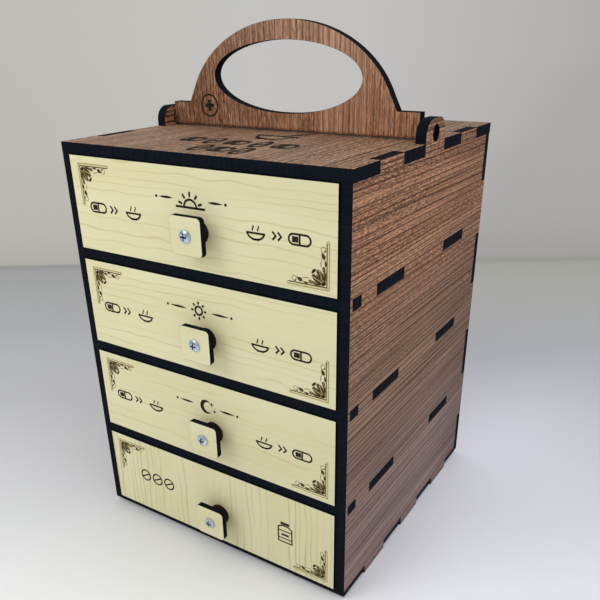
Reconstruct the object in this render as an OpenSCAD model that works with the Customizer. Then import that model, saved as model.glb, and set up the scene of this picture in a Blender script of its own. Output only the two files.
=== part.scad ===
// Finger-jointed medicine box with four drawers, screwed knobs and a swinging carry handle.
// Origin at the centre of the footprint on the floor, front towards -Y, +Z up, millimetres.

/* [Case] */
// Width of the case over its side boards
case_w = 152.4; // [120:0.1:240]
// Depth of the case, from its front edges to the rear edge of the top
case_d = 152.4; // [120:0.1:240]
// Height of the case, from the floor to the upper face of the top
case_h = 203.2; // [170:0.1:320]
// Thickness of the sides, the top, the back, the shelves and the handle
board = 5; // [4:0.1:6]
// Thickness of the bottom, the drawers and the knobs
thin_board = 2.8; // [2:0.1:3.2]
// Segments along each finger-jointed edge of the case, with a side finger in the middle
case_fingers = 7; // [3:4:11]
// How far the top stands out behind the back
rear_lip = 0.8; // [0:0.1:4]

/* [Shelves] */
// Length of the two long shelf tabs on each side
shelf_tab_w = 27; // [10:0.5:40]
// Length of the short shelf tab at the front
front_tab_w = 7.5; // [3:0.1:10]
// Distance of the short tab from the front edge
front_tab_inset = 1.9; // [1:0.1:5]

/* [Drawers] */
// Number of drawers, one above the other
drawer_count = 4; // [2:1:5]
// Number of drawers with a divider, counted from the top
divided_drawers = 3; // [0:1:5]
// Gap around each drawer front
face_gap = 0.25; // [0.2:0.05:1.5]
// How far the fronts of the closed drawers stand out of the case
face_proud = 0.8; // [0:0.1:2]
// Gap between a tray and the side of the case
tray_side_play = 0.6; // [0.3:0.05:1.5]
// Gap between a closed tray and the back
tray_rear_play = 0.3; // [0.2:0.05:1]
// Free height above the walls of a tray
tray_headroom = 5; // [2:0.5:10]
// Segments along each lower edge of a tray
tray_fingers = 5; // [3:2:9]
// Segments along each upright corner of a tray
corner_fingers = 3; // [3:2:7]
// How far a divider stays below the tray walls
divider_drop = 3; // [0:0.5:10]
// Length of the two tabs under a divider
divider_tab_w = 18; // [6:0.5:30]

/* [Knob] */
// Side of the square knob plate
knob_w = 16.8; // [12:0.1:20]
// Corner radius of the knob plate
knob_corner = 2; // [0.5:0.1:5]
// Diameter of the spacer disc behind the knob plate
disc_d = 10.8; // [8:0.1:16]
// Thickness of the spacer disc
disc_h = 5.8; // [3:0.1:10]
// Height of the knob above the lower edge of the drawer front
knob_rise = 17.55; // [12:0.05:22]
// Distance of the knob from the middle of the drawer, to the right
knob_shift = 3.6; // [0:0.1:8]

/* [Screw] */
// Thread diameter of the knob screw
screw_d = 3; // [2.5:0.1:4]
// Diameter of the screw head
head_d = 5.6; // [5:0.1:8]
// Height of the screw head
head_h = 1.6; // [1.4:0.1:3]
// Height of the domed part of the screw head
head_crown = 0.9; // [0.4:0.1:1.2]
// Length of each arm of the cross recess, end to end
recess_l = 3.2; // [2:0.1:4]
// Width of each arm of the cross recess
recess_w = 0.7; // [0.4:0.1:1.2]
// Depth of the cross recess
recess_h = 1; // [0.6:0.1:1.5]
// Width of the nut across its flats
nut_af = 5.5; // [5:0.1:8]
// Height of the nut
nut_h = 2.4; // [1.6:0.1:3.2]
// Length of screw that stands out of the nut
screw_tail = 0.8; // [0.2:0.1:2]
// Radial play of the screw in the boards
screw_play = 0.15; // [0.05:0.05:0.4]
// Radial play between the nut and the screw
thread_play = 0.05; // [0.02:0.01:0.1]
// Space around the nut in a divider
nut_room = 0.8; // [0.4:0.1:2]

/* [Handle] */
// Height of the handle's apex above the top
arch_rise = 49.5; // [40:0.1:70]
// Height of the handle's shoulders above the top
shoulder_rise = 11.8; // [9:0.1:16]
// Width of each shoulder beside the arch
shoulder_w = 11.3; // [6:0.1:20]
// How far the straight feet of the arch stand out past its oval
arch_flare = 0.3; // [0.1:0.1:3]
// Width of the board between the foot of the arch and the grip opening
grip_side = 17.2; // [14:0.1:24]
// Width of the board above the grip opening
grip_band = 8.6; // [6:0.1:12]
// Width of the board below the grip opening
grip_sill = 8.2; // [6:0.1:12]
// Gap between the centred handle and each ear
handle_gap = 1.1; // [0.5:0.1:3]
// How far the handle lies to the left in its end play
handle_shift = 0.7; // [0:0.1:2.5]
// Half the height of the stubs at the ends of the handle
heel = 2.4; // [2:0.1:3.5]
// Radius of the handle's lower edges, which turn close over the top
sole_round = 1.8; // [0.5:0.1:2]
// Play of the turning handle in the ears and over the top
pivot_play = 0.2; // [0.2:0.05:0.6]
// Height of the ear above its pivot hole
ear_wall = 2.5; // [2:0.1:5]
// Radius of the ear's upper corners
ear_corner = 7; // [3:0.1:8]

/* [Hidden] */
$fn = 96;
walnut = [0.47, 0.31, 0.23];
maple = [0.90, 0.87, 0.71];
raw_board = [0.62, 0.47, 0.33];
charred = [0.07, 0.08, 0.10];
zinc = [0.72, 0.75, 0.80];
// Overlength of cutting shapes past the edge that they cut
over = 1;
hex_sides = 6;
// How far the straight feet of the arch run into its oval, so that the two outlines cross
foot_bite = 0.05;
// Each knob screw passes through the plate, the drawer front and the tray front, besides the disc
screwed_boards = 3;

// Reach of the knobs in front of the case, which the footprint includes
knob_reach = thin_board + disc_h + head_h;
front_y = (face_proud + knob_reach - case_d) / 2;
side_d = case_d - rear_lip;
inner_w = case_w - 2 * board;
inner_d = side_d - board;
finger_w = case_d / case_fingers;

// The bottom lies level with the tops of its notches, so the side fingers are the feet
bay_h = (case_h - (drawer_count + 1) * board) / drawer_count;
function bay_floor(n) = board + (drawer_count - n) * (bay_h + board);

// Spans of the shelf tabs from the front edge, as start and length
tab_centres = [inner_d / 4, 3 * inner_d / 4];
tab_spans = concat(
    [[front_tab_inset, front_tab_w]],
    [for (c = tab_centres) [c - shelf_tab_w / 2, shelf_tab_w]]
);

face_w = inner_w - 2 * face_gap;
face_h = bay_h - 2 * face_gap;
tray_w = inner_w - 2 * tray_side_play;
tray_d = inner_d + face_proud - thin_board - tray_rear_play;
tray_h = bay_h - tray_headroom;
divider_l = tray_d - 2 * thin_board;
divider_tab_centres = [tray_d / 4, 3 * tray_d / 4];
knob_z = face_gap + knob_rise;
screw_hole_d = screw_d + 2 * screw_play;
nut_corner_r = nut_af / 2 / cos(180 / hex_sides);
crown_r = (pow(head_d / 2, 2) + pow(head_crown, 2)) / (2 * head_crown);

// The corners of the stubs and the round lower edges of the handle turn about the pivot on one radius
heel_r = norm([heel, board / 2]);
sole = sole_round + sqrt(pow(heel_r - sole_round, 2) - pow(board / 2 - sole_round, 2));
pivot_rise = heel_r + pivot_play;
pivot_hole_r = heel_r + pivot_play;
ear_rise = pivot_rise + pivot_hole_r + ear_wall;
handle_w = inner_w - 2 * handle_gap;
stub_span = case_w - 2 * handle_shift;
arch_a = handle_w / 2 - shoulder_w;
arch_b = arch_rise - pivot_rise;

// The straight feet of the arch meet its oval at this angle
foot_x = arch_a + arch_flare;
foot_z = shoulder_rise - pivot_rise;
foot_far = norm([foot_x / arch_a, foot_z / arch_b]);
foot_angle = atan2(foot_z / arch_b, foot_x / arch_a) + acos(1 / foot_far);

grip_a = arch_a - grip_side;
grip_b = (arch_b - grip_band + sole - grip_sill) / 2;
grip_z = grip_sill - sole + grip_b;

shelf_nodes = [for (n = [1 : drawer_count - 1]) str("shelf_", n)];
drawer_pieces = [
    "face", "tray_front", "tray_back", "tray_left", "tray_right", "tray_bottom",
    "knob_plate", "knob_disc", "screw", "nut"
];
function has_divider(n) = n <= divided_drawers;
function pieces(n) = has_divider(n) ? concat(drawer_pieces, ["divider"]) : drawer_pieces;
function piece_node(n, piece) = str("drawer_", n, "_", piece);
drawer_nodes = [for (n = [1 : drawer_count]) for (piece = pieces(n)) piece_node(n, piece)];

// Boards: a profile is drawn flat, then stood in one of three directions

// Lying board with its lower face at z
module lying(z, thickness) {
    translate([0, 0, z]) linear_extrude(thickness) children();
}

// Board across the box with its front face at y; the profile is drawn in X and Z
module across(y, thickness) {
    translate([0, y + thickness, 0]) rotate([90, 0, 0]) linear_extrude(thickness) children();
}

// Board along the box with its left face at x; the profile is drawn in Y and Z
module along(x, thickness) {
    translate([x, 0, 0]) rotate([90, 0, 90]) linear_extrude(thickness) children();
}

// Every second segment of an edge that starts at the origin and runs along +X, cut depth deep into +Y
module notches(length, count, depth, first) {
    step = length / count;
    for (i = [first : 2 : count - 1])
        translate([i * step, -over]) square([step, depth + over]);
}

// The same notches in both upright edges of a profile centred on X, from height z up
module upright_notches(width, z, length, count, depth, first) {
    for (s = [0, 1])
        mirror([s, 0]) translate([width / 2, z]) rotate(90) notches(length, count, depth, first);
}

// Rectangle with round corners, centred
module rounded_square(side, corner) {
    flat = side - 2 * corner;
    square([side, flat], center = true);
    square([flat, side], center = true);
    for (x = [-1, 1], y = [-1, 1])
        translate([x * flat / 2, y * flat / 2]) circle(corner);
}

module ellipse(a, b) {
    scale([a, b]) circle(1);
}

// Case

// Ear on the middle finger of a side, drawn from the level of the top
module ear_outline() {
    flat = finger_w - 2 * ear_corner;
    translate([-finger_w / 2, 0]) square([finger_w, ear_rise - ear_corner]);
    translate([-flat / 2, 0]) square([flat, ear_rise]);
    for (s = [-1, 1])
        translate([s * flat / 2, ear_rise - ear_corner]) circle(ear_corner);
}

module side_profile() {
    difference() {
        union() {
            square([side_d, case_h]);
            translate([case_d / 2, case_h]) ear_outline();
        }
        translate([0, case_h]) mirror([0, 1]) notches(case_d, case_fingers, board, 0);
        notches(case_d, case_fingers, board, 0);
        translate([side_d, 0]) rotate(90) notches(case_h, case_fingers, board, 0);
        for (n = [1 : drawer_count - 1], tab = tab_spans)
            translate([tab[0], bay_floor(n) - board]) square([tab[1], board]);
        translate([case_d / 2, case_h + pivot_rise]) circle(pivot_hole_r);
    }
}

module left_side() {
    color(walnut) translate([0, front_y, 0]) along(-case_w / 2, board) side_profile();
}

module right_side() {
    color(walnut) translate([0, front_y, 0]) along(case_w / 2 - board, board) side_profile();
}

// Lying panel of the case with notches for the side fingers
module panel_profile(depth) {
    difference() {
        translate([-case_w / 2, 0]) square([case_w, depth]);
        upright_notches(case_w, 0, case_d, case_fingers, board, 1);
    }
}

module top_panel() {
    color(walnut) translate([0, front_y, 0]) lying(case_h - board, board) panel_profile(case_d);
}

module bottom_panel() {
    color(walnut)
        translate([0, front_y, 0]) lying(board - thin_board, thin_board) panel_profile(side_d);
}

module back_panel() {
    color(walnut)
        across(front_y + inner_d, board)
            difference() {
                translate([-case_w / 2, board]) square([case_w, case_h - 2 * board]);
                upright_notches(case_w, 0, case_h, case_fingers, board, 1);
            }
}

module shelf(n) {
    color(walnut)
        translate([0, front_y, 0])
            lying(bay_floor(n) - board, board) {
                translate([-inner_w / 2, 0]) square([inner_w, inner_d]);
                for (tab = tab_spans)
                    translate([-case_w / 2, tab[0]]) square([case_w, tab[1]]);
            }
}

// Handle

// Straight-sided band from the shoulders up into the oval of the arch
module arch_feet() {
    end = [(arch_a - foot_bite) * cos(foot_angle), (arch_b - foot_bite) * sin(foot_angle)];
    polygon([[-foot_x, foot_z], [foot_x, foot_z], end, [-end[0], end[1]]]);
}

// Outline of the handle with its stubs, which turn in the ears, drawn from the pivot axis
module handle_profile() {
    difference() {
        union() {
            square([stub_span, 2 * heel], center = true);
            translate([-handle_w / 2, -sole]) square([handle_w, sole + foot_z]);
            arch_feet();
            intersection() {
                ellipse(arch_a, arch_b);
                translate([-arch_a, 0]) square([2 * arch_a, arch_b]);
            }
        }
        translate([0, grip_z]) ellipse(grip_a, grip_b);
    }
}

// What is cut from the handle's rear lower edge to round it, drawn in Y and Z from the pivot axis
module sole_corner() {
    translate([board / 2 - sole_round, sole_round - sole])
        difference() {
            translate([0, -sole_round - over]) square([sole_round + over, sole_round + over]);
            circle(sole_round);
        }
}

module handle() {
    color(walnut)
        translate([-handle_shift, front_y + case_d / 2, case_h + pivot_rise])
            difference() {
                across(-board / 2, board) handle_profile();
                for (s = [0, 1])
                    mirror([0, s, 0])
                        along(-stub_span / 2 - over, stub_span + 2 * over) sole_corner();
            }
}

// Drawers, each drawn from the middle of its front's outer face at the level of its bay's floor

module in_bay(n) {
    translate([0, front_y - face_proud, bay_floor(n)]) children();
}

// Turns a shape drawn along +Z to point backwards on the knob's axis
module on_knob_axis(y) {
    translate([knob_shift, y, knob_z]) rotate([-90, 0, 0]) children();
}

// Hole for the knob screw in an upright profile
module screw_hole() {
    translate([knob_shift, knob_z]) circle(d = screw_hole_d);
}

module face() {
    color(maple)
        across(0, thin_board)
            difference() {
                translate([-face_w / 2, face_gap]) square([face_w, face_h]);
                screw_hole();
            }
}

// Front or back wall of a tray
module tray_end_profile() {
    difference() {
        translate([-tray_w / 2, 0]) square([tray_w, tray_h]);
        translate([-tray_w / 2, 0]) notches(tray_w, tray_fingers, thin_board, 0);
        upright_notches(tray_w, thin_board, tray_h - thin_board, corner_fingers, thin_board, 0);
    }
}

module tray_front() {
    color(raw_board)
        across(thin_board, thin_board)
            difference() {
                tray_end_profile();
                screw_hole();
            }
}

module tray_back() {
    color(raw_board) across(tray_d, thin_board) tray_end_profile();
}

module tray_side_profile() {
    difference() {
        square([tray_d, tray_h]);
        notches(tray_d, tray_fingers, thin_board, 0);
        translate([tray_d / 2, 0])
            upright_notches(tray_d, thin_board, tray_h - thin_board, corner_fingers, thin_board, 1);
    }
}

module tray_left() {
    color(raw_board)
        translate([0, thin_board, 0]) along(-tray_w / 2, thin_board) tray_side_profile();
}

module tray_right() {
    color(raw_board)
        translate([0, thin_board, 0]) along(tray_w / 2 - thin_board, thin_board) tray_side_profile();
}

module tray_bottom(divided) {
    color(raw_board)
        translate([0, thin_board, 0])
            lying(0, thin_board)
                difference() {
                    translate([-tray_w / 2, 0]) square([tray_w, tray_d]);
                    upright_notches(tray_w, 0, tray_d, tray_fingers, thin_board, 1);
                    translate([-tray_w / 2, 0]) notches(tray_w, tray_fingers, thin_board, 1);
                    translate([-tray_w / 2, tray_d])
                        mirror([0, 1]) notches(tray_w, tray_fingers, thin_board, 1);
                    if (divided)
                        for (c = divider_tab_centres)
                            translate([0, c]) square([thin_board, divider_tab_w], center = true);
                }
}

// Divider with tabs through the tray bottom and a notch around the nut
module divider() {
    nut_notch_h = 2 * (nut_corner_r + nut_room);
    nut_notch_l = nut_h + screw_tail + nut_room;
    color(raw_board)
        translate([0, thin_board, 0])
            along(-thin_board / 2, thin_board)
                difference() {
                    union() {
                        translate([thin_board, thin_board])
                            square([divider_l, tray_h - thin_board - divider_drop]);
                        for (c = divider_tab_centres)
                            translate([c - divider_tab_w / 2, 0])
                                square([divider_tab_w, 2 * thin_board]);
                    }
                    translate([thin_board - over, knob_z - nut_notch_h / 2])
                        square([nut_notch_l + over, nut_notch_h]);
                }
}

module knob_plate() {
    color(maple)
        on_knob_axis(-disc_h - thin_board)
            linear_extrude(thin_board)
                difference() {
                    rounded_square(knob_w, knob_corner);
                    circle(d = screw_hole_d);
                }
}

module knob_disc() {
    color(charred)
        on_knob_axis(-disc_h)
            linear_extrude(disc_h)
                difference() {
                    circle(d = disc_d);
                    circle(d = screw_hole_d);
                }
}

// Pan-head screw with a cross recess, drawn from the apex of its head
module screw() {
    shank_l = screwed_boards * thin_board + disc_h + nut_h + screw_tail;
    color(zinc)
        on_knob_axis(-knob_reach)
            difference() {
                union() {
                    intersection() {
                        cylinder(d = head_d, h = head_h);
                        translate([0, 0, crown_r]) sphere(crown_r);
                    }
                    cylinder(d = screw_d, h = head_h + shank_l);
                }
                translate([0, 0, -over])
                    linear_extrude(over + recess_h) {
                        square([recess_l, recess_w], center = true);
                        square([recess_w, recess_l], center = true);
                    }
            }
}

module nut() {
    color(zinc)
        on_knob_axis(2 * thin_board)
            linear_extrude(nut_h)
                difference() {
                    circle(nut_corner_r, $fn = hex_sides);
                    circle(d = screw_d + 2 * thread_play);
                }
}

module drawer_piece(n, piece) {
    in_bay(n) {
        if (piece == "face") face();
        if (piece == "tray_front") tray_front();
        if (piece == "tray_back") tray_back();
        if (piece == "tray_left") tray_left();
        if (piece == "tray_right") tray_right();
        if (piece == "tray_bottom") tray_bottom(has_divider(n));
        if (piece == "divider") divider();
        if (piece == "knob_plate") knob_plate();
        if (piece == "knob_disc") knob_disc();
        if (piece == "screw") screw();
        if (piece == "nut") nut();
    }
}

left_side();
right_side();
top_panel();
bottom_panel();
back_panel();
handle();
for (n = [1 : drawer_count - 1])
    shelf(n);
for (n = [1 : drawer_count], piece = pieces(n))
    drawer_piece(n, piece);
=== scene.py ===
"""Looks of the medicine box with drawers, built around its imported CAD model.

Every board keeps its CAD mesh and gets a laminate on its two faces and a laser-charred cut edge.
The ornaments and pictograms burnt into the boards are thin pieces of their own.
Sizes in the marks are millimetres; everything handed to Blender is in metres.
"""

import math

import bpy
from mathutils import Matrix, Vector


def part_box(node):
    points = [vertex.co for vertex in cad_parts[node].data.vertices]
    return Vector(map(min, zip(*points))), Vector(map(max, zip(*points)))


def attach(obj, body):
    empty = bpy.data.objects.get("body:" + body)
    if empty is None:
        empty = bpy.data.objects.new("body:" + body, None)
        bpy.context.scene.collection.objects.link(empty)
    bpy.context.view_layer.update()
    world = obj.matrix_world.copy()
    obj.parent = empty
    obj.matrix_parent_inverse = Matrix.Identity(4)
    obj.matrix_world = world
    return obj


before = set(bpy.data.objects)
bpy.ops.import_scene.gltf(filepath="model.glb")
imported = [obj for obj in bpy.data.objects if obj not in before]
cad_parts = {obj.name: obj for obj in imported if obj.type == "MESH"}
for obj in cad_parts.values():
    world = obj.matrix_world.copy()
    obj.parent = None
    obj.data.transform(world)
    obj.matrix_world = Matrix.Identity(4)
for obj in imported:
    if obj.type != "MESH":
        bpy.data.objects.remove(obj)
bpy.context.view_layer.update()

MM = 0.001
DRAWERS = (1, 2, 3, 4)
DIVIDED_DRAWERS = (1, 2, 3)
SHELVES = (1, 2, 3)
AXES = "xyz"
EVERY_WAY = ""
RIGHT = Vector((1, 0, 0))
DEEP = Vector((0, 1, 0))
UP = Vector((0, 0, 1))


def srgb(red, green, blue):
    """A screen colour, 0 to 255, as the linear colour that a shader takes."""
    shares = (red / 255, green / 255, blue / 255)
    linear = [s / 12.92 if s <= 0.04045 else ((s + 0.055) / 1.055) ** 2.4 for s in shares]
    return (*linear, 1.0)


# Materials

class Pattern:
    """Procedural values and colours in a node tree, built from a few kinds of node."""

    # Cells of the two noises that bend grain lines: millimetres along them and spacings across them
    CROWDING = (280, 3.5)
    QUIVER = (18, 3.0)

    def __init__(self, tree, coordinates):
        self.nodes = tree.nodes
        self.links = tree.links
        self.place = self.add("ShaderNodeTexCoord").outputs[coordinates]

    def add(self, kind, inputs=None, **settings):
        """A node with its settings, and its inputs by name or number as sockets or plain values."""
        node = self.nodes.new(kind)
        for key, value in settings.items():
            setattr(node, key, value)
        for key, value in (inputs or {}).items():
            if isinstance(value, bpy.types.NodeSocket):
                self.links.new(value, node.inputs[key])
            else:
                node.inputs[key].default_value = value
        return node

    def noise(self, grain, along, across, detail=2.0, roughness=0.5, shift=0.0):
        """Noise in cells, in millimetres along the grain's axis and across it."""
        cells = [1 / (MM * (along if axis == grain else across)) for axis in AXES]
        placing = {"Vector": self.place, "Location": (shift,) * 3, "Scale": cells}
        mapped = self.add("ShaderNodeMapping", placing)
        inputs = {
            "Vector": mapped.outputs["Vector"],
            "Scale": 1.0,
            "Detail": detail,
            "Roughness": roughness,
        }
        return self.add("ShaderNodeTexNoise", inputs).outputs["Fac"]

    def ramp(self, value, *stops):
        """A colour between stops, each a position and a colour."""
        node = self.add("ShaderNodeValToRGB", {"Fac": value})
        marks = node.color_ramp.elements
        while len(marks) < len(stops):
            marks.new(0.5)
        for mark, (position, colour) in zip(marks, stops):
            mark.position = position
            mark.color = colour
        return node.outputs["Color"]

    def ease(self, value, start, end, low=0.0, high=1.0, kind="SMOOTHSTEP"):
        """A value that goes from low to high as another goes from start to end."""
        inputs = {"Value": value, "From Min": start, "From Max": end, "To Min": low, "To Max": high}
        return self.add("ShaderNodeMapRange", inputs, interpolation_type=kind).outputs["Result"]

    def contour(self, value, level, width):
        """A line where a value passes a level: 1 on it, and 0 from width away."""
        return self.ease(self.math("ABSOLUTE", self.math("SUBTRACT", value, level)), width, 0.0)

    def lines(self, grain, spacing, width, bend, waver, shift=0.0):
        """Thin lines along the grain, about spacing millimetres apart.

        They crowd and part by up to bend spacings across the board, and waver by waver spacings along it.
        """
        across = [0.0 if axis == grain else 1 / (MM * spacing) for axis in AXES]
        length, spacings = self.CROWDING
        crowding = self.noise(grain, length, spacings * spacing, detail=2, shift=shift + 0.9)
        length, spacings = self.QUIVER
        quiver = self.noise(grain, length, spacings * spacing, detail=1, shift=shift + 6.2)
        crowding = self.math("MULTIPLY", crowding, bend)
        quiver = self.math("MULTIPLY", quiver, waver)
        phase = self.math("ADD", self.measure(across), self.math("ADD", crowding, quiver))
        return self.contour(self.math("FRACT", phase), 0.5, width / spacing)

    def measure(self, direction):
        """How far along a direction a place lies."""
        inputs = {0: self.place, 1: direction}
        return self.add("ShaderNodeVectorMath", inputs, operation="DOT_PRODUCT").outputs["Value"]

    def math(self, operation, first, second=0.0):
        return self.add("ShaderNodeMath", {0: first, 1: second}, operation=operation).outputs["Value"]

    def seen_directly(self):
        """1 for what is seen, also in metal or through glass, and 0 for light that falls on things."""
        paths = self.add("ShaderNodeLightPath").outputs
        seen = self.math("MAXIMUM", paths["Is Camera Ray"], paths["Is Glossy Ray"])
        return self.math("MAXIMUM", seen, paths["Is Transmission Ray"])

    def blend(self, amount, below, above, mode="MIX"):
        """One colour laid over another."""
        node = self.add("ShaderNodeMix", data_type="RGBA", blend_type=mode)
        named = [s for s in node.inputs if s.enabled]
        for socket, value in zip(named, (amount, below, above)):
            if isinstance(value, bpy.types.NodeSocket):
                self.links.new(value, socket)
            else:
                socket.default_value = value
        return next(s for s in node.outputs if s.enabled)


class Finish(Pattern):
    """A procedural material."""

    # How open a place looks from inside the board, on the middle of a face and at its edge
    FACE_OPENNESS, EDGE_OPENNESS = 0.98, 0.55

    def __init__(self, name, roughness, metallic=0.0, specular=0.5):
        self.material = bpy.data.materials.new(name)
        self.material.use_nodes = True
        super().__init__(self.material.node_tree, "Object")
        self.shader = self.nodes["Principled BSDF"]
        self.shader.inputs["Roughness"].default_value = roughness
        self.shader.inputs["Metallic"].default_value = metallic
        self.shader.inputs["Specular IOR Level"].default_value = specular

    def rim(self, reach):
        """Near 1 within reach millimetres of a cut edge, and 0 on the rest of a face."""
        inputs = {"Distance": reach * MM}
        node = self.add("ShaderNodeAmbientOcclusion", inputs, inside=True, only_local=True, samples=6)
        return self.ease(node.outputs["AO"], self.FACE_OPENNESS, self.EDGE_OPENNESS)

    def colour(self, colour):
        self.links.new(colour, self.shader.inputs["Base Color"])

    def roughness(self, value):
        self.links.new(value, self.shader.inputs["Roughness"])

    def bump(self, height, depth, strength=0.6):
        """Relief from a height between 0 and 1, depth millimetres deep."""
        node = self.add("ShaderNodeBump", {"Height": height, "Distance": depth * MM, "Strength": strength})
        self.links.new(node.outputs["Normal"], self.shader.inputs["Normal"])


# Heights, depths and sideways places in metres between which the walnut changes its tone, much of it
# painted light: a painted floor sheen near the foot, painted shade at the back and on the ears, a painted
# highlight high on the handle, and flecks and lines that fade near the floor as painted haze
FOOT_GREYS = (0.03, 0.13)
GREYING_HEIGHTS = (0.175, 0.115)
REAR_DEPTHS = (0.01, 0.08)
HANDLE_HEIGHTS = (0.225, 0.25)
LEFT_PLACES = (0.005, -0.05)
EAR_HEIGHTS = (0.200, 0.210)
FLECKED_HEIGHTS = (0.09, 0.17)
CLEAR_LINE_HEIGHTS = (0.02, 0.12)
UNCHANGED = (1, 1, 1, 1)
FIBRE_DARKER, FIBRE_LIGHTER = (0.56, 0.52, 0.49, 1), (1.54, 1.50, 1.46, 1)


def walnut_tone_and_painted_light(finish, colour, height, left_shade, ear_shade):
    """Walnut by place: greyer near the floor, a painted sheen of the floor's reflection; darker towards the
    back, painted shade; and paler at the top of the handle, a painted highlight.

    The left, and the ears above the top, can be darker too; on the ears this is painted shade.
    """
    # Painted reflection: the walnut greys towards the floor, standing in for the pale floor's sheen on the
    # laminate.
    painted_floor_sheen = finish.ramp(
        finish.ease(height, *FOOT_GREYS, kind="LINEAR"),
        (0.0, srgb(130, 117, 119)),
        (0.3, srgb(128, 112, 106)),
        (0.7, srgb(131, 106, 88)),
        (1.0, srgb(122, 96, 80)),
    )
    colour = finish.blend(finish.ease(height, *GREYING_HEIGHTS, high=0.80), colour, painted_floor_sheen)
    # Painted shade: darker towards the back of the box.
    painted_rear_shade = finish.ease(finish.measure(DEEP), *REAR_DEPTHS, high=0.30)
    colour = finish.blend(painted_rear_shade, colour, srgb(82, 62, 52))
    # Painted highlight: paler at the top of the handle.
    painted_handle_highlight = finish.ease(height, *HANDLE_HEIGHTS, high=0.40)
    colour = finish.blend(painted_handle_highlight, colour, srgb(190, 158, 137))
    to_left = finish.ease(finish.measure(RIGHT), *LEFT_PLACES, high=left_shade)
    colour = finish.blend(to_left, colour, srgb(100, 62, 42))
    # Painted shade: darker on the ears above the top.
    ear = finish.ease(height, *EAR_HEIGHTS, high=ear_shade)
    return finish.blend(ear, colour, srgb(88, 66, 56))


def walnut_flecks(finish, colour, grain, height, flecks):
    """Short pale and dark dashes along the grain, in patches, fewer near the floor, where their fading is
    painted haze of the floor's sheen.
    """
    clouds = finish.noise(grain, 90, 22, detail=0, shift=4.3)
    patches = finish.ease(clouds, 0.36, 0.60, low=0.55 * flecks, high=flecks)
    # Painted haze: the flecks fade near the floor, as the floor's sheen would wash them out.
    flecked = finish.math("MULTIPLY", patches, finish.ease(height, *FLECKED_HEIGHTS, low=0.20))
    pale_cells = finish.noise(grain, 2.7, 0.34, detail=0, shift=1.7)
    pale_dash = finish.ease(pale_cells, 0.50, 0.62, high=0.76)
    colour = finish.blend(finish.math("MULTIPLY", pale_dash, flecked), colour, srgb(214, 168, 128))
    dark_cells = finish.noise(grain, 3.4, 0.34, detail=0, shift=7.7)
    dark_dash = finish.ease(dark_cells, 0.46, 0.36, high=0.58)
    return finish.blend(finish.math("MULTIPLY", dark_dash, flecked), colour, srgb(74, 43, 28))


def walnut(
    name, grain, dark, middle, pale, specular=0.14, left_shade=0.0, ear_shade=0.0, flecks=1.0, lined=1.0
):
    """Walnut laminate: soft brown bands, fine fibres, dashes in patches and long dark growth lines."""
    finish = Finish(name, roughness=0.55, specular=specular)
    height = finish.measure(UP)
    bands = finish.noise(grain, 300, 12, detail=1)
    colour = finish.ramp(bands, (0.30, dark), (0.50, middle), (0.70, pale))
    colour = walnut_tone_and_painted_light(finish, colour, height, left_shade, ear_shade)
    fibres = finish.noise(grain, 75, 0.75, detail=2, roughness=0.6, shift=3.1)
    shade = finish.ramp(fibres, (0.30, FIBRE_DARKER), (0.50, UNCHANGED), (0.70, FIBRE_LIGHTER))
    colour = finish.blend(1.0, colour, shade, "MULTIPLY")
    colour = walnut_flecks(finish, colour, grain, height, flecks)
    faintness = finish.noise(grain, 120, 1.4, detail=1, shift=5.9)
    fine = finish.ease(faintness, 0.40, 0.60, high=0.70 * lined)
    thin = finish.lines(grain, spacing=1.6, width=0.5, bend=2.0, waver=0.2, shift=2.0)
    colour = finish.blend(finish.math("MULTIPLY", thin, fine), colour, srgb(76, 45, 31))
    clarity = finish.noise(grain, 200, 2.6, detail=1, shift=8.8)
    strong = finish.ease(clarity, 0.34, 0.58, low=0.58 * lined, high=lined)
    # Painted haze: the growth lines fade near the floor, as the floor's sheen would wash them out.
    strong = finish.math("MULTIPLY", strong, finish.ease(height, *CLEAR_LINE_HEIGHTS, low=0.70))
    growth = finish.lines(grain, spacing=2.9, width=0.52, bend=2.6, waver=0.12)
    growth = finish.math("MULTIPLY", growth, strong)
    colour = finish.blend(growth, colour, srgb(56, 30, 19))
    # Painted highlight: a paler line along the cut edges, where the rounded arris would catch the light.
    painted_edge_highlight = finish.math("MULTIPLY", finish.rim(0.45), 0.22)
    finish.colour(finish.blend(painted_edge_highlight, colour, srgb(168, 142, 124)))
    finish.roughness(finish.ease(bands, 0.30, 0.66, low=0.62, high=0.50))
    finish.bump(finish.math("SUBTRACT", 1.0, growth), depth=0.015)
    return finish.material


# Sideways places and heights in metres between which painted shade deepens the maple's cream
FRONT_WIDTH = (-0.075, 0.075)
FRONT_HEIGHTS = (0.20, 0.0)


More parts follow.
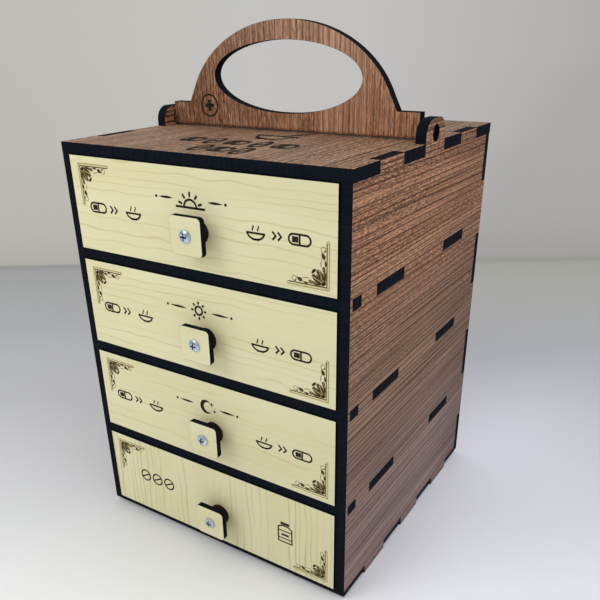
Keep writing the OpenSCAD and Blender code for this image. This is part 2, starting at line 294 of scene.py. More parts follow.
def maple(name, grain, spacing, strength, ink, shade=1.0):
    """Pale maple laminate: thin wavy growth lines, about spacing millimetres apart, on nearly plain cream.

    Painted shade deepens the cream a little to the right and towards the bottom; shade sets how dark the
    whole finish is.
    """
    finish = Finish(name, roughness=0.5, specular=0.4)
    mottle = finish.noise(grain, 90, 18, detail=2, shift=2.2)
    colour = finish.ramp(mottle, (0.35, srgb(226, 219, 172)), (0.65, srgb(231, 225, 183)))
    line = finish.lines(grain, spacing, width=0.58, bend=3.4, waver=0.9)
    faint = finish.ease(finish.noise(grain, 75, 9, detail=2, shift=8.4), 0.38, 0.62, low=0.08)
    faded = finish.math("MULTIPLY", finish.math("MULTIPLY", line, faint), strength)
    colour = finish.blend(faded, colour, ink)
    fibres = finish.noise(grain, 18, 0.6, detail=1, shift=4.4)
    colour = finish.blend(finish.ease(fibres, 0.58, 0.78, high=0.16), colour, srgb(209, 202, 155))
    # Painted shade: the cream darkens towards the right and the bottom, as if light fell from the upper
    # left.
    painted_shade_rightwards = finish.ease(finish.measure(RIGHT), *FRONT_WIDTH, low=shade, high=0.92 * shade)
    painted_shade_down = finish.ease(finish.measure(UP), *FRONT_HEIGHTS, low=1.0, high=0.90)
    colour = finish.blend(1.0, colour, finish.math("MULTIPLY", painted_shade_rightwards, painted_shade_down), "MULTIPLY")
    # Painted highlight: a paler line along the cut edges, where the rounded arris would catch the light.
    painted_edge_highlight = finish.math("MULTIPLY", finish.rim(0.45), 0.35)
    finish.colour(finish.blend(painted_edge_highlight, colour, srgb(240, 236, 208)))
    finish.roughness(finish.ease(mottle, 0.3, 0.7, low=0.54, high=0.46))
    finish.bump(finish.math("SUBTRACT", 1.0, line), depth=0.012)
    return finish.material


def raw_board():
    """Plain fibreboard: tan, with fine fibres and darker specks."""
    finish = Finish("raw_fibreboard", roughness=0.8, specular=0.3)
    clouds = finish.noise(EVERY_WAY, 0, 9, detail=3)
    colour = finish.ramp(clouds, (0.3, srgb(172, 138, 100)), (0.7, srgb(190, 158, 118)))
    fibres = finish.noise(EVERY_WAY, 0, 0.55, detail=3, roughness=0.7, shift=3.7)
    colour = finish.blend(finish.ease(fibres, 0.50, 0.36, high=0.6), colour, srgb(140, 106, 72))
    specks = finish.noise(EVERY_WAY, 0, 0.9, detail=1, shift=9.1)
    colour = finish.blend(finish.ease(specks, 0.30, 0.22, high=0.7), colour, srgb(96, 70, 48))
    scorch = finish.math("MULTIPLY", finish.rim(0.9), 0.7)
    finish.colour(finish.blend(scorch, colour, srgb(70, 48, 30)))
    finish.roughness(finish.ease(fibres, 0.3, 0.7, low=0.72, high=0.88))
    finish.bump(fibres, depth=0.04)
    return finish.material


def charred(name, beam, dark, middle, pale):
    """A laser-cut edge: soot black with faint striations along the beam, which crosses the board."""
    finish = Finish(name, roughness=0.85, specular=0.06)
    ribs = finish.noise(beam, 7, 0.4, detail=2)
    colour = finish.ramp(ribs, (0.30, dark), (0.55, middle), (0.80, pale))
    brown = finish.noise(beam, 5, 6, detail=2, shift=6.6)
    colour = finish.blend(finish.ease(brown, 0.62, 0.80, high=0.35), colour, srgb(34, 27, 25))
    finish.colour(colour)
    finish.roughness(finish.ease(ribs, 0.3, 0.7, low=0.90, high=0.80))
    finish.bump(ribs, depth=0.03)
    return finish.material


def zinc(name, low, middle, high, roughness):
    """Zinc plate with a cool cast, fine turning marks and faint tarnish."""
    finish = Finish(name, roughness=roughness, metallic=1.0)
    patches = finish.noise(EVERY_WAY, 0, 1.6, detail=3)
    finish.colour(finish.ramp(patches, (0.3, low), (0.55, middle), (0.8, high)))
    marks = finish.noise("y", 2.0, 0.12, detail=1, shift=2.8)
    finish.roughness(finish.ease(marks, 0.3, 0.7, low=0.7 * roughness, high=1.4 * roughness))
    finish.bump(marks, depth=0.01, strength=0.4)
    return finish.material


def burnt(name, dark, light):
    """Engraving burnt into a board, deeper brown where the beam lingered."""
    finish = Finish(name, roughness=0.8, specular=0.12)
    burn = finish.noise(EVERY_WAY, 0, 0.55, detail=2)
    finish.colour(finish.ramp(burn, (0.34, dark), (0.66, light)))
    finish.roughness(finish.ease(burn, 0.3, 0.7, low=0.86, high=0.72))
    finish.bump(burn, depth=0.03)
    return finish.material


CASE_WALNUT = walnut(
    "case_walnut", "y", srgb(135, 90, 65), srgb(161, 112, 84), srgb(182, 133, 101), ear_shade=0.35
)
# The top is the same laminate as the case; its greyer tones paint in the sheen that greys the top.
TOP_WALNUT = walnut(
    "top_walnut", "y", srgb(120, 90, 70), srgb(142, 110, 87), srgb(160, 127, 102), specular=0.35
)
UPRIGHT_WALNUT = walnut(
    "upright_walnut", "z", srgb(134, 90, 65), srgb(158, 111, 83), srgb(180, 135, 106),
    left_shade=0.72, flecks=0.7, lined=0.65,
)
FRONT_MAPLE = maple("front_maple", "x", 4.4, 0.50, srgb(196, 181, 118))
LOW_FRONT_MAPLE = maple("low_front_maple", "z", 3.4, 0.62, srgb(184, 168, 112))
# The knob plates are a touch darker by painted shade.
KNOB_MAPLE = maple("knob_maple", "x", 9, 0.25, srgb(190, 176, 118), shade=0.98)
# Soot black with a bluish cast: the black is the real char, the blue a painted reflection of the cool
# surroundings.
SOOT_AND_BLUE_SHEEN = (srgb(11, 15, 23), srgb(15, 20, 29), srgb(22, 27, 37))
CHARRED = {beam: charred(f"charred_edge_{beam}", beam, *SOOT_AND_BLUE_SHEEN) for beam in AXES}
CHARRED_DISC = charred("charred_disc", "y", srgb(24, 16, 14), srgb(38, 25, 21), srgb(56, 37, 30))
RAW = raw_board()
ZINC = zinc("bright_zinc", srgb(158, 184, 218), srgb(198, 212, 228), srgb(226, 230, 234), 0.26)
# Painted shade: dark blue zinc for the walls and floor of the cross recess.
PAINTED_RECESS_SHADE = zinc("shaded_zinc", srgb(24, 36, 60), srgb(40, 56, 86), srgb(62, 80, 112), 0.45)
INK = burnt("burnt_mark", srgb(26, 22, 14), srgb(48, 41, 28))
BURNS = (
    burnt("burnt_ornament", srgb(50, 40, 18), srgb(88, 73, 42)),
    burnt("burnt_ornament_line", srgb(138, 124, 80), srgb(168, 154, 108)),
    burnt("burnt_ornament_tint", srgb(204, 192, 142), srgb(214, 204, 156)),
)


# Boards and hardware

EDGE_ROUNDING = 0.14 * MM
ROUNDING_STEPS = 2
SAME_POINT = 0.001 * MM
FLAT_ANGLE = math.radians(0.4)
ARRIS_ANGLE = math.radians(40)
LAMINATE, CUT_EDGE = 0, 1
FACE_COSINE = 0.5
RECESS_DEPTH = 1.0 * MM
RECESS_SLACK = 0.02 * MM
WALL_COSINE, FLOOR_COSINE = 0.3, 0.99


def soften(node):
    """Joins the mesh's triangles into flat faces and takes the sharpness off its arrises."""
    weld = node.modifiers.new("weld", "WELD")
    weld.merge_threshold = SAME_POINT
    flat = node.modifiers.new("flat faces", "DECIMATE")
    flat.decimate_type = "DISSOLVE"
    flat.angle_limit = FLAT_ANGLE
    flat.delimit = {"MATERIAL"}
    bevel = node.modifiers.new("arris", "BEVEL")
    bevel.width = EDGE_ROUNDING
    bevel.segments = ROUNDING_STEPS
    bevel.limit_method = "ANGLE"
    bevel.angle_limit = ARRIS_ANGLE
    bevel.loop_slide = False
    bevel.material = CUT_EDGE
    even = node.modifiers.new("even shading", "WEIGHTED_NORMAL")
    even.keep_sharp = False


def dress_board(name, thickness_axis, face, edge=None):
    """A board's two faces get their laminate, and every cut edge the charred finish."""
    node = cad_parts[name]
    mesh = node.data
    mesh.materials.clear()
    mesh.materials.append(face)
    mesh.materials.append(edge or CHARRED[thickness_axis])
    axis = AXES.index(thickness_axis)
    for polygon in mesh.polygons:
        is_face = abs(polygon.normal[axis]) > FACE_COSINE
        polygon.material_index = LAMINATE if is_face else CUT_EDGE
    soften(node)


def dress_metal(name):
    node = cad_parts[name]
    node.data.materials.clear()
    node.data.materials.append(ZINC)
    return node.data


def dress_screw(name):
    """Bright metal, with the walls and floor of the cross recess dark: painted shade."""
    mesh = dress_metal(name)
    mesh.materials.append(PAINTED_RECESS_SHADE)
    apex = min(vertex.co.y for vertex in mesh.vertices)
    deep = apex + RECESS_DEPTH
    for polygon in mesh.polygons:
        is_wall = polygon.center.y < deep and abs(polygon.normal.y) < WALL_COSINE
        is_floor = abs(polygon.center.y - deep) < RECESS_SLACK and polygon.normal.y < -FLOOR_COSINE
        polygon.material_index = int(is_wall or is_floor)


dress_board("left_side", "x", CASE_WALNUT)
dress_board("right_side", "x", CASE_WALNUT)
dress_board("top_panel", "z", TOP_WALNUT)
dress_board("bottom_panel", "z", CASE_WALNUT)
dress_board("back_panel", "y", UPRIGHT_WALNUT)
dress_board("handle", "y", UPRIGHT_WALNUT)
for shelf in SHELVES:
    dress_board(f"shelf_{shelf}", "z", CASE_WALNUT)

TRAY_BOARDS = {"tray_front": "y", "tray_back": "y", "tray_left": "x", "tray_right": "x", "tray_bottom": "z"}
for drawer in DRAWERS:
    front = FRONT_MAPLE if drawer in DIVIDED_DRAWERS else LOW_FRONT_MAPLE
    dress_board(f"drawer_{drawer}_face", "y", front)
    dress_board(f"drawer_{drawer}_knob_plate", "y", KNOB_MAPLE)
    dress_board(f"drawer_{drawer}_knob_disc", "y", RAW, CHARRED_DISC)
    for board, axis in TRAY_BOARDS.items():
        dress_board(f"drawer_{drawer}_{board}", axis, RAW)
    if drawer in DIVIDED_DRAWERS:
        dress_board(f"drawer_{drawer}_divider", "x", RAW)
    dress_screw(f"drawer_{drawer}_screw")
    dress_metal(f"drawer_{drawer}_nut")


# Marks burnt into the boards

MARK_SUNK = 0.02
# Tones of a drawing, and how far each stands proud so that the darker covers the paler
DARK, LIGHT, TINT = 0, 1, 2
MARK_PROUD = (0.03, 0.02, 0.01)


def arc(centre, radius, start, end, steps=16, squash=1.0):
    """Points on an arc, angles in degrees, its height multiplied by squash."""
    angles = [math.radians(start + (end - start) * i / steps) for i in range(steps + 1)]
    return [(centre[0] + radius * math.cos(a), centre[1] + squash * radius * math.sin(a)) for a in angles]


def scroll(centre, outer, inner, start, end, steps):
    """Points on a spiral that winds in from the outer radius to the inner one."""
    points = []
    for i in range(steps + 1):
        share = i / steps
        radius = outer + (inner - outer) * share
        angle = math.radians(start + (end - start) * share)
        points.append((centre[0] + radius * math.cos(angle), centre[1] + radius * math.sin(angle)))
    return points


def curve(start, first, second, end, steps=14):
    """Points on a cubic curve."""
    points = []
    for i in range(steps + 1):
        t = i / steps
        weights = ((1 - t) ** 3, 3 * t * (1 - t) ** 2, 3 * t * t * (1 - t), t ** 3)
        knots = (start, first, second, end)
        points.append(tuple(sum(w * k[c] for w, k in zip(weights, knots)) for c in (0, 1)))
    return points


class Marks:
    """Flat drawing in millimetres, made into one thin closed mesh."""

    MITRE_LIMIT = 0.4
    TIP = 0.06
    DOT_STEPS = 12
    RING_STEPS = 28
    CORNERS = 4

    def __init__(self):
        self.points = []
        self.faces = []
        self.tones = []

    def strip(self, left, right, closed, tone):
        """A solid ribbon between two borders."""
        base = len(self.points)
        count = len(left)
        proud = MARK_PROUD[tone]
        for near, far in zip(left, right):
            self.points += [(*near, proud), (*far, proud), (*far, -MARK_SUNK), (*near, -MARK_SUNK)]
        spans = count if closed else count - 1
        for i in range(spans):
            here = base + self.CORNERS * i
            there = base + self.CORNERS * ((i + 1) % count)
            for side in range(self.CORNERS):
                other = (side + 1) % self.CORNERS
                self.faces.append((here + side, here + other, there + other, there + side))
        if not closed:
            last = base + self.CORNERS * (count - 1)
            self.faces.append((base + 3, base + 2, base + 1, base))
            self.faces.append((last, last + 1, last + 2, last + 3))
        self.tones += [tone] * (len(self.faces) - len(self.tones))

    def stroke(self, points, width, tone=DARK, closed=False):
        """A line along points. The width is one number, or one for each point."""
        count = len(points)
        widths = [width] * count if isinstance(width, (int, float)) else width
        left, right = [], []
        for i, (x, y) in enumerate(points):
            before = points[i - 1] if closed or i > 0 else None
            after = points[(i + 1) % count] if closed or i < count - 1 else None
            steps = []
            if before:
                steps.append(Vector((x - before[0], y - before[1])).normalized())
            if after:
                steps.append(Vector((after[0] - x, after[1] - y)).normalized())
            along = sum(steps, Vector((0, 0))).normalized()
            half = widths[i] / 2 / max(along.dot(steps[0]), self.MITRE_LIMIT)
            normal = (-along.y * half, along.x * half)
            left.append((x + normal[0], y + normal[1]))
            right.append((x - normal[0], y - normal[1]))
        self.strip(left, right, closed, tone)

    def leaf(self, points, width, tone=DARK, fullest=0.45):
        """A stroke that swells from a fine tip to its full width and tapers off again."""
        last = len(points) - 1
        widths = []
        for i in range(last + 1):
            share = i / last
            rise = share / fullest if share < fullest else (1 - share) / (1 - fullest)
            widths.append(self.TIP + (width - self.TIP) * math.sin(rise * math.pi / 2))
        self.stroke(points, widths, tone)

    def dot(self, centre, radius):
        """A filled round: a ribbon from its upper border to its lower one."""
        upper = arc(centre, radius, 176, 4, self.DOT_STEPS)
        lower = arc(centre, radius, 184, 356, self.DOT_STEPS)
        self.strip(upper, lower, False, DARK)

    def ring(self, centre, radius, width, tone=DARK):
        circle = arc(centre, radius, 0, 360, self.RING_STEPS)
        self.stroke(circle[:-1], width, tone, closed=True)

    def include(self, other, matrix):
        """Adds another drawing, mirrored or stretched in its own plane."""
        base = len(self.points)
        for x, y, z in other.points:
            spot = matrix @ Vector((x, y))
            self.points.append((spot.x, spot.y, z))
        flipped = matrix.determinant() < 0
        for face in other.faces:
            order = reversed(face) if flipped else face
            self.faces.append(tuple(base + i for i in order))
        self.tones += other.tones

    def piece(self, name, body, origin, across, up, materials):
        """The drawing as a piece that rides on a body. Its outward side is across times up."""
        out = across.cross(up)
        spots = [origin + MM * (x * across + y * up + z * out) for x, y, z in self.points]
        mesh = bpy.data.meshes.new(name)
        mesh.from_pydata(spots, [], [tuple(reversed(face)) for face in self.faces])
        for material in materials:
            mesh.materials.append(material)
        mesh.polygons.foreach_set("material_index", self.tones)
        mesh.update()
        piece = bpy.data.objects.new(name, mesh)
        bpy.context.scene.collection.objects.link(piece)
        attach(piece, body)


# Ways in which a drawing is laid down
AS_DRAWN = Matrix.Identity(2)
SWAPPED = Matrix(((0, 1), (1, 0)))
DOWNWARDS = Matrix(((1, 0), (0, -1)))
LEFTWARDS = Matrix(((-1, 0), (0, 1)))


def half_ornament():
    """One arm of the corner ornament, along its first axis, with half of the palmette in the corner."""
    half = Marks()
    arm, rail = 19.0, 1.1
    half.stroke([(arm - 0.3, rail / 2), (rail / 2, rail / 2)], 0.8, TINT)
    half.stroke([(arm, 0.0), (0.0, 0.0)], 0.38, LIGHT)
    half.stroke([(arm - 0.3, rail), (rail, rail)], 0.46)
    half.ring((arm, rail / 2), 0.5, 0.28, LIGHT)
    half.leaf(curve((2.0, 2.1), (4.4, 1.8), (7.0, 2.0), (9.8, 2.8)), 1.7, LIGHT)
    half.leaf(curve((2.6, 2.5), (4.8, 3.4), (6.6, 4.2), (7.6, 6.2)), 2.4, LIGHT)
    half.leaf(curve((3.2, 2.3), (4.8, 1.7), (6.6, 1.7), (7.9, 2.6)), 0.95)
    half.stroke(scroll((8.5, 2.6), 0.85, 0.3, 150, 500, 14), 0.5)
    half.leaf(curve((3.7, 3.1), (5.2, 2.8), (6.7, 3.2), (7.7, 4.4)), 0.85)
    half.stroke(scroll((7.1, 4.9), 0.65, 0.25, -30, 300, 12), 0.45)
    half.leaf(curve((4.2, 4.0), (5.5, 4.1), (6.4, 4.8), (6.9, 6.2)), 0.8)
    half.leaf(curve((6.6, 7.4), (7.1, 7.0), (7.6, 6.5), (8.0, 5.9)), 1.15)
    half.dot((2.7, 2.2), 0.75)
    half.leaf(curve((8.6, 3.6), (9.8, 4.0), (11.4, 3.8), (12.6, 3.2)), 0.5, LIGHT)
    half.leaf(curve((9.3, 1.8), (10.2, 1.6), (11.2, 1.7), (12.1, 2.1)), 0.85)
    half.leaf(curve((12.1, 2.3), (13.0, 2.4), (13.9, 2.8), (15.0, 3.5)), 1.7, fullest=0.4)
    half.ring((16.1, 2.7), 1.0, 0.36, LIGHT)
    half.dot((15.5, 1.9), 0.38)
    return half


def corner_ornament():
    """A bracket of two lines with a palmette in its corner and a stem with a bud on each arm."""
    half = half_ornament()
    whole = Marks()
    whole.include(half, AS_DRAWN)
    whole.include(half, SWAPPED)
    whole.leaf(curve((3.0, 3.0), (4.2, 4.2), (5.0, 5.0), (6.0, 6.0)), 0.8)
    return whole


STROKE = 1.0
LABEL_STROKE = 0.85


def flanks(marks, inner, outer):
    """A tapered line and a dot on each side of a heading."""
    steps, width, gap, dot_radius = 8, 1.1, 1.4, 0.65
    for side in (-1, 1):
        line = [(side * (inner + (outer - inner) * i / steps), 0.0) for i in range(steps + 1)]
        marks.leaf(line, width)
        marks.dot((side * (outer + gap), 0.0), dot_radius)


def rays(marks, centre, inner, outer, angles):
    for angle in angles:
        direction = Vector((math.cos(math.radians(angle)), math.sin(math.radians(angle))))
        start = Vector(centre) + inner * direction
        end = Vector(centre) + outer * direction
        marks.stroke([tuple(start), tuple(end)], STROKE)


def sunrise():
    """Half a sun on the horizon."""
    marks = Marks()
    horizon = -3.2
    marks.stroke(arc((0, horizon), 3.4, 0, 180), STROKE)
    marks.stroke([(-8.0, horizon), (8.0, horizon)], STROKE)
    rays(marks, (0, horizon), 4.5, 6.7, range(18, 180, 36))
    flanks(marks, 9.5, 17.4)
    return marks


def noon():
    """A full sun."""
    marks = Marks()
    marks.ring((0, 0), 2.0, STROKE)
    rays(marks, (0, 0), 3.0, 4.4, range(0, 360, 45))
    flanks(marks, 7.0, 17.0)
    return marks


def night():
    """A crescent moon and two stars."""
    marks = Marks()
    marks.leaf(arc((0.4, 0), 3.2, 50, 310, steps=24), 2.1, fullest=0.5)
    for x, y, size in ((3.2, 2.0, 1.5), (4.8, -1.4, 1.1)):
        marks.leaf([(x - size, y), (x, y), (x + size, y)], 0.75, fullest=0.5)
        marks.leaf([(x, y - size), (x, y), (x, y + size)], 0.75, fullest=0.5)
    flanks(marks, 8.0, 17.0)
    return marks


def capsule(marks, x, y=0.0, width=LABEL_STROKE):
    """A capsule lying on its side, one half filled."""
    half_length, radius, steps = 2.9, 2.1, 12
    right_end = arc((x + half_length, y), radius, -90, 90, steps)
    left_end = arc((x - half_length, y), radius, 90, 270, steps)
    marks.stroke(right_end + left_end, width, closed=True)
    marks.stroke([(x, y - radius), (x, y + radius)], width)
    inset, filling = 0.6, 2.4
    marks.stroke([(x - half_length - inset, y), (x - inset, y)], filling)


def tablet(marks, x, y=0.0, width=LABEL_STROKE):
    """A round tablet with a score across it."""
    radius = 3.2
    score_x, score_y = 0.75 * radius, 0.4 * radius
    marks.ring((x, y), radius, width)
    marks.stroke([(x - score_x, y - score_y), (x + score_x, y + score_y)], width)


def bowl(marks, x):
    """A bowl on its foot with two wisps of steam."""
    rim, half, depth, lip, foot = -0.1, 4.1, 2.6, 4.7, 1.7
    marks.stroke([(x - lip, rim), (x + lip, rim)], LABEL_STROKE)
    marks.stroke(arc((x, rim), half, 180, 360, squash=depth / half), LABEL_STROKE)
    marks.stroke([(x - foot, rim - depth), (x + foot, rim - depth)], LABEL_STROKE)
    for wisp_x in (x - 1.3, x + 1.3):
        wisp = curve((wisp_x, 0.8), (wisp_x - 1.0, 1.5), (wisp_x + 1.0, 2.2), (wisp_x, 3.0), 8)
        marks.stroke(wisp, 0.6)


def chevrons(marks, x):
    """Two arrowheads that say which comes first."""
    reach, rise = 0.8, 1.7
    for middle in (x - 1.3, x + 1.3):
        tail, tip = middle - reach, middle + reach
        marks.stroke([(tail, rise), (tip, 0.0), (tail, -rise)], LABEL_STROKE)


def before_meal():
    marks = Marks()
    capsule(marks, -11.6)
    chevrons(marks, -1.7)
    bowl(marks, 10.6)
    return marks


def after_meal():
    marks = Marks()
    bowl(marks, -11.2)
    chevrons(marks, -1.0)
    capsule(marks, 9.6)
    return marks


def tablets():
    """Three scored tablets in a row."""
    marks = Marks()
    for x in (-8.4, 0.0, 8.4):
        tablet(marks, x)
    return marks


def bottle():
    """A medicine bottle with a cap and a label."""
    marks = Marks()
    half, shoulder, base = 3.9, 2.6, -6.0
    flask = [(-half, shoulder), (-half, base), (half, base), (half, shoulder)]
    neck = [(1.8, 3.9), (-1.8, 3.9)]
    marks.stroke(flask + neck, 0.75, closed=True)
    marks.stroke([(-2.5, 5.2), (2.5, 5.2)], 1.5)
    marks.stroke([(-half, 0.7), (half, 0.7)], 0.6)
    marks.stroke([(-half, -3.8), (half, -3.8)], 0.6)
    marks.stroke([(-2.1, -1.6), (2.1, -1.6)], 1.2)
    return marks


def mortar(marks, x, y):
    """A mortar with its pestle."""
    rim, half, depth, lip, foot, width = y + 0.6, 9.5, 4.6, 11.5, 5.0, 1.3
    marks.stroke([(x - lip, rim), (x + lip, rim)], width)
    marks.stroke(arc((x, rim), half, 180, 360, steps=24, squash=depth / half), width)
    marks.stroke([(x - foot, rim - depth), (x + foot, rim - depth)], width)
    marks.leaf([(x + 1.0 + 3.0 * i, rim + 0.4 + 1.4 * i) for i in range(5)], 2.2, fullest=0.75)


TOP_STRETCH = 2.2
TOP_STROKE = 1.5
# The height of each row on the top, and its drawings with their places along it
TOP_ROWS = {
    -16.8: ((capsule, -25.0), (tablet, -12.4), (capsule, 0.2), (tablet, 12.8), (capsule, 25.4)),
    -25.2: ((tablet, -5.4), (capsule, 5.4), (tablet, 16.2)),
}


def top_marks():
    """A mortar over two rows of capsules and tablets, stretched in depth to read well from the front."""
    marks = Marks()
    mortar(marks, 5.0, -6.0)
    for y, row in TOP_ROWS.items():
        for draw, x in row:
            draw(marks, x, y, width=TOP_STROKE)
    stretched = Marks()
    stretched.include(marks, Matrix(((1, 0), (0, TOP_STRETCH))))
    return stretched


def plus_badge():
    """A plus in a ring."""
    marks = Marks()
    reach, width = 2.8, 1.7
    marks.ring((0, 0), 5.2, 0.9)
    marks.stroke([(-reach, 0), (reach, 0)], width)
    marks.stroke([(0, -reach), (0, -width / 2)], width)
    marks.stroke([(0, width / 2), (0, reach)], width)
    return marks


HEADINGS = {1: sunrise, 2: noon, 3: night}
UPPER_ORNAMENT = (5.0, 3.5)
LOWER_ORNAMENT = (3.6, 2.6)
HEADING_HEIGHT = 30.5
LABEL_INSET, LABEL_HEIGHT = 26.5, 21.0
OTHER_LEFT_INSET, OTHER_RIGHT_INSET, OTHER_HEIGHT = 31.3, 27.3, 22.5


def mark_front(drawer, ornament):
    """The marks burnt into one drawer's front."""
    body = f"drawer_{drawer}"
    low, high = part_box(f"{body}_face")

    def mark(part, drawing, x, z, turn=AS_DRAWN, inks=(INK,)):
        """A drawing on this front, centred or cornered at x and z."""
        placed = Marks()
        placed.include(drawing, turn)
        placed.piece(f"{body}_{part}", body, Vector((x, low.y, z)), RIGHT, UP, inks)

    in_x, in_z = (MM * inset for inset in UPPER_ORNAMENT)
    mark("ornament_upper_left", ornament, low.x + in_x, high.z - in_z, DOWNWARDS, BURNS)
    in_x, in_z = (MM * inset for inset in LOWER_ORNAMENT)
    mark("ornament_lower_right", ornament, high.x - in_x, low.z + in_z, LEFTWARDS, BURNS)
    if drawer in HEADINGS:
        label_z = low.z + LABEL_HEIGHT * MM
        mark("heading_mark", HEADINGS[drawer](), 0.0, low.z + HEADING_HEIGHT * MM)
        mark("left_mark", before_meal(), low.x + LABEL_INSET * MM, label_z)
        mark("right_mark", after_meal(), high.x - LABEL_INSET * MM, label_z)
    else:
        label_z = low.z + OTHER_HEIGHT * MM
        mark("left_mark", tablets(), low.x + OTHER_LEFT_INSET * MM, label_z)
        mark("right_mark", bottle(), high.x - OTHER_RIGHT_INSET * MM, label_z)


ornament = corner_ornament()
for drawer in DRAWERS:
    mark_front(drawer, ornament)

BADGE_X, BADGE_HEIGHT = -47.0, 10.5
top_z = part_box("top_panel")[1].z
top_marks().piece("top_mark", "carcass", Vector((0, 0, top_z)), RIGHT, DEEP, (INK,))
handle_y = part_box("handle")[0].y
badge_place = Vector((BADGE_X * MM, handle_y, top_z + BADGE_HEIGHT * MM))
plus_badge().piece("handle_mark", "carry_handle", badge_place, RIGHT, UP, (INK,))


# Floor, light and camera

FLOOR_HALF = 6.0
FLOOR_DROP = 0.05 * MM
VIEW_AZIMUTH = math.radians(32.816)
VIEW_DOWN = math.radians(25.715)
VIEW_ROLL = math.radians(-0.900)
VIEW_POINT = Vector((0.18917, -0.28529, 0.24628))
BACKDROP_DISTANCE = 0.433
BACKDROP_BLEND = 0.012
BACKDROP_SPREAD = 0.5
NOT_ZERO = 0.001
# Distances in metres between which the floor passes into the backdrop on the other sides
FLOOR_FADES = (0.7, 1.6)
AHEAD = (-math.sin(VIEW_AZIMUTH), math.cos(VIEW_AZIMUTH), 0)
ASIDE = (math.cos(VIEW_AZIMUTH), math.sin(VIEW_AZIMUTH), 0)


def backdrop_tone(pattern):
    """The backdrop's grey, by the direction in which a place lies, with painted shade that darkens it
    towards the right.
    """
    run = pattern.math("ADD", pattern.math("ABSOLUTE", pattern.measure(AHEAD)), NOT_ZERO)
    slant = pattern.math("DIVIDE", pattern.measure(ASIDE), run)
    # Painted shade: the grey darkens towards the right of the backdrop.
    return pattern.ramp(
        pattern.ease(slant, -BACKDROP_SPREAD, BACKDROP_SPREAD, kind="LINEAR"),
        (0.05, srgb(189, 187, 179)),
        (0.45, srgb(196, 195, 192)),
        (0.60, srgb(194, 192, 190)),
        (0.95, srgb(174, 171, 169)),
    )


def grey(share):
    return (share, share, share, 1)


def paper_floor(finish, run):
    """Pale paper that darkens away from the light, with painted cool light and a painted fill of the
    object's shadow that make it a little cooler and brighter beside the object.
    """
    paper = finish.ramp(
        finish.ease(run, -0.12, BACKDROP_DISTANCE, kind="LINEAR"),
        (0.04, srgb(242, 242, 242)),
        (0.20, srgb(220, 220, 221)),
        (0.41, srgb(192, 192, 194)),
        (0.67, srgb(175, 175, 176)),
        (0.95, srgb(164, 164, 163)),
    )
    # Painted light: a cool cast on the paper to the right of the object, warmer further back.
    on_right = finish.ease(finish.measure(ASIDE), 0.0, 0.10)
    cool, warm = (0.98, 0.98, 1.04, 1), (1.09, 1.08, 1.0, 1)
    tint = finish.ramp(finish.ease(run, 0.10, 0.40), (0.0, cool), (1.0, warm))
    paper = finish.blend(on_right, paper, tint, "MULTIPLY")
    # Painted light: paler paper just right of the object fills its shadow there.
    near_side = finish.ease(finish.measure(RIGHT), 0.20, 0.085)
    beside = finish.math("MULTIPLY", near_side, finish.ease(run, 0.20, 0.0))
    lit = finish.math("MULTIPLY", on_right, beside)
    paper = finish.blend(finish.math("MULTIPLY", lit, 0.45), paper, srgb(240, 242, 252))
    # Painted shade: a dark line along the seam where the floor meets the backdrop.
    painted_seam_shade = finish.math("MULTIPLY", finish.contour(run, BACKDROP_DISTANCE, 0.02), 0.25)
    return finish.blend(painted_seam_shade, paper, srgb(120, 120, 118)), lit


def floor_finish():
    """Paper floor that passes into the grey backdrop. What glows there is seen, and lights nothing."""
    finish = Finish("paper_floor", roughness=0.7, specular=0.2)
    run = finish.measure(AHEAD)
    seen = finish.seen_directly()
    paper, lit = paper_floor(finish, run)
    finish.colour(paper)
    # Painted light: a glow beside the object, seen only, that brightens its shadow on the paper.
    painted_fill_glow = finish.math("MULTIPLY", finish.math("MULTIPLY", lit, 0.10), seen)
    finish.links.new(painted_fill_glow, finish.shader.inputs["Emission Strength"])
    finish.shader.inputs["Emission Color"].default_value = srgb(232, 232, 248)
    away = finish.add("ShaderNodeVectorMath", {0: finish.place}, operation="LENGTH").outputs["Value"]
    farther = finish.math("MAXIMUM", run, BACKDROP_DISTANCE)
    rise = finish.math("SUBTRACT", 1.0, finish.math("DIVIDE", BACKDROP_DISTANCE, farther))
    rise = finish.math("MAXIMUM", rise, finish.ease(away, *FLOOR_FADES, high=0.9))
    # Painted shade: the backdrop is darker at its foot, next to the floor.
    fade = finish.ramp(rise, (0.0, grey(0.84)), (0.35, grey(0.96)), (0.9, grey(1.0)))
    wall = finish.blend(1.0, backdrop_tone(finish), fade, "MULTIPLY")
    glow = finish.add("ShaderNodeEmission", {"Color": wall, "Strength": 1.0})
    behind = finish.ease(run, BACKDROP_DISTANCE, BACKDROP_DISTANCE + BACKDROP_BLEND)
    beyond = finish.math("MAXIMUM", behind, finish.ease(away, *FLOOR_FADES))
    beyond = finish.math("MULTIPLY", beyond, seen)
    shaders = {"Fac": beyond, 1: finish.shader.outputs[0], 2: glow.outputs[0]}
    both = finish.add("ShaderNodeMixShader", shaders)
    finish.links.new(both.outputs[0], finish.nodes["Material Output"].inputs["Surface"])
    return finish.material


floor_mesh = bpy.data.meshes.new("floor")
corners = [(-1, -1), (1, -1), (1, 1), (-1, 1)]
floor_points = [(x * FLOOR_HALF, y * FLOOR_HALF, -FLOOR_DROP) for x, y in corners]
floor_mesh.from_pydata(floor_points, [], [(0, 1, 2, 3)])
floor_mesh.materials.append(floor_finish())
floor = bpy.data.objects.new("floor", floor_mesh)
bpy.context.scene.collection.objects.link(floor)

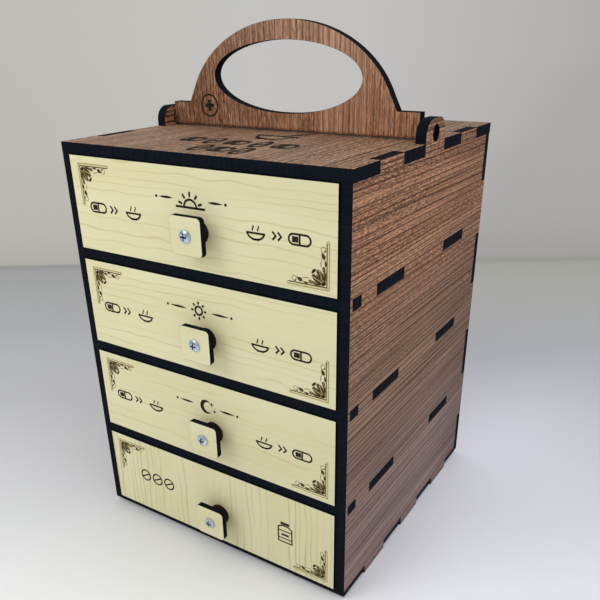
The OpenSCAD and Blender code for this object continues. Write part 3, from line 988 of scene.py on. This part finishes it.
world = bpy.data.worlds.new("studio")
bpy.context.scene.world = world
world.use_nodes = True
world.node_tree.nodes.clear()
studio = Pattern(world.node_tree, "Generated")
AMBIENT = 0.80
AMBIENT_TINT = (0.97, 0.985, 1.0, 1.0)
ambient = studio.add("ShaderNodeBackground", {"Color": AMBIENT_TINT, "Strength": AMBIENT})
seen = studio.add("ShaderNodeBackground", {"Color": backdrop_tone(studio)})
shaders = {"Fac": studio.seen_directly(), 1: ambient.outputs[0], 2: seen.outputs[0]}
both = studio.add("ShaderNodeMixShader", shaders)
studio.add("ShaderNodeOutputWorld", {"Surface": both.outputs[0]})

AIM = Vector((0, 0, 0.11))


def soft_box(name, place, size, watts, tint=(1.0, 1.0, 1.0)):
    """A square area lamp that faces the object."""
    lamp = bpy.data.lights.new(name, "AREA")
    lamp.size = size
    lamp.energy = watts
    lamp.color = tint
    holder = bpy.data.objects.new(name, lamp)
    holder.location = place
    holder.rotation_mode = "QUATERNION"
    holder.rotation_quaternion = (AIM - holder.location).to_track_quat("-Z", "Y")
    bpy.context.scene.collection.objects.link(holder)


COOL_LIGHT = (0.80, 0.90, 1.0)
soft_box("key_light", Vector((-0.42, -0.80, 0.85)), size=0.6, watts=3.1)
soft_box("top_light", Vector((0.35, 0.15, 1.1)), size=0.7, watts=1.2)
soft_box("window_light", Vector((1.05, -0.35, 0.50)), size=0.8, watts=0.6, tint=COOL_LIGHT)

camera_data = bpy.data.cameras.new("camera")
camera_data.sensor_width = 36.0
camera_data.lens = 40.42
camera_data.shift_x = 0.0075
camera_data.shift_y = 0.0973
camera_data.clip_start = 0.01
camera_data.clip_end = 50.0
camera = bpy.data.objects.new("camera", camera_data)
turned = Matrix.Rotation(VIEW_AZIMUTH, 4, "Z")
tilted = Matrix.Rotation(math.pi / 2 - VIEW_DOWN, 4, "X")
rolled = Matrix.Rotation(VIEW_ROLL, 4, "Z")
camera.matrix_world = Matrix.Translation(VIEW_POINT) @ turned @ tilted @ rolled
bpy.context.scene.collection.objects.link(camera)
bpy.context.scene.camera = camera

bpy.context.scene.view_settings.view_transform = "Standard"
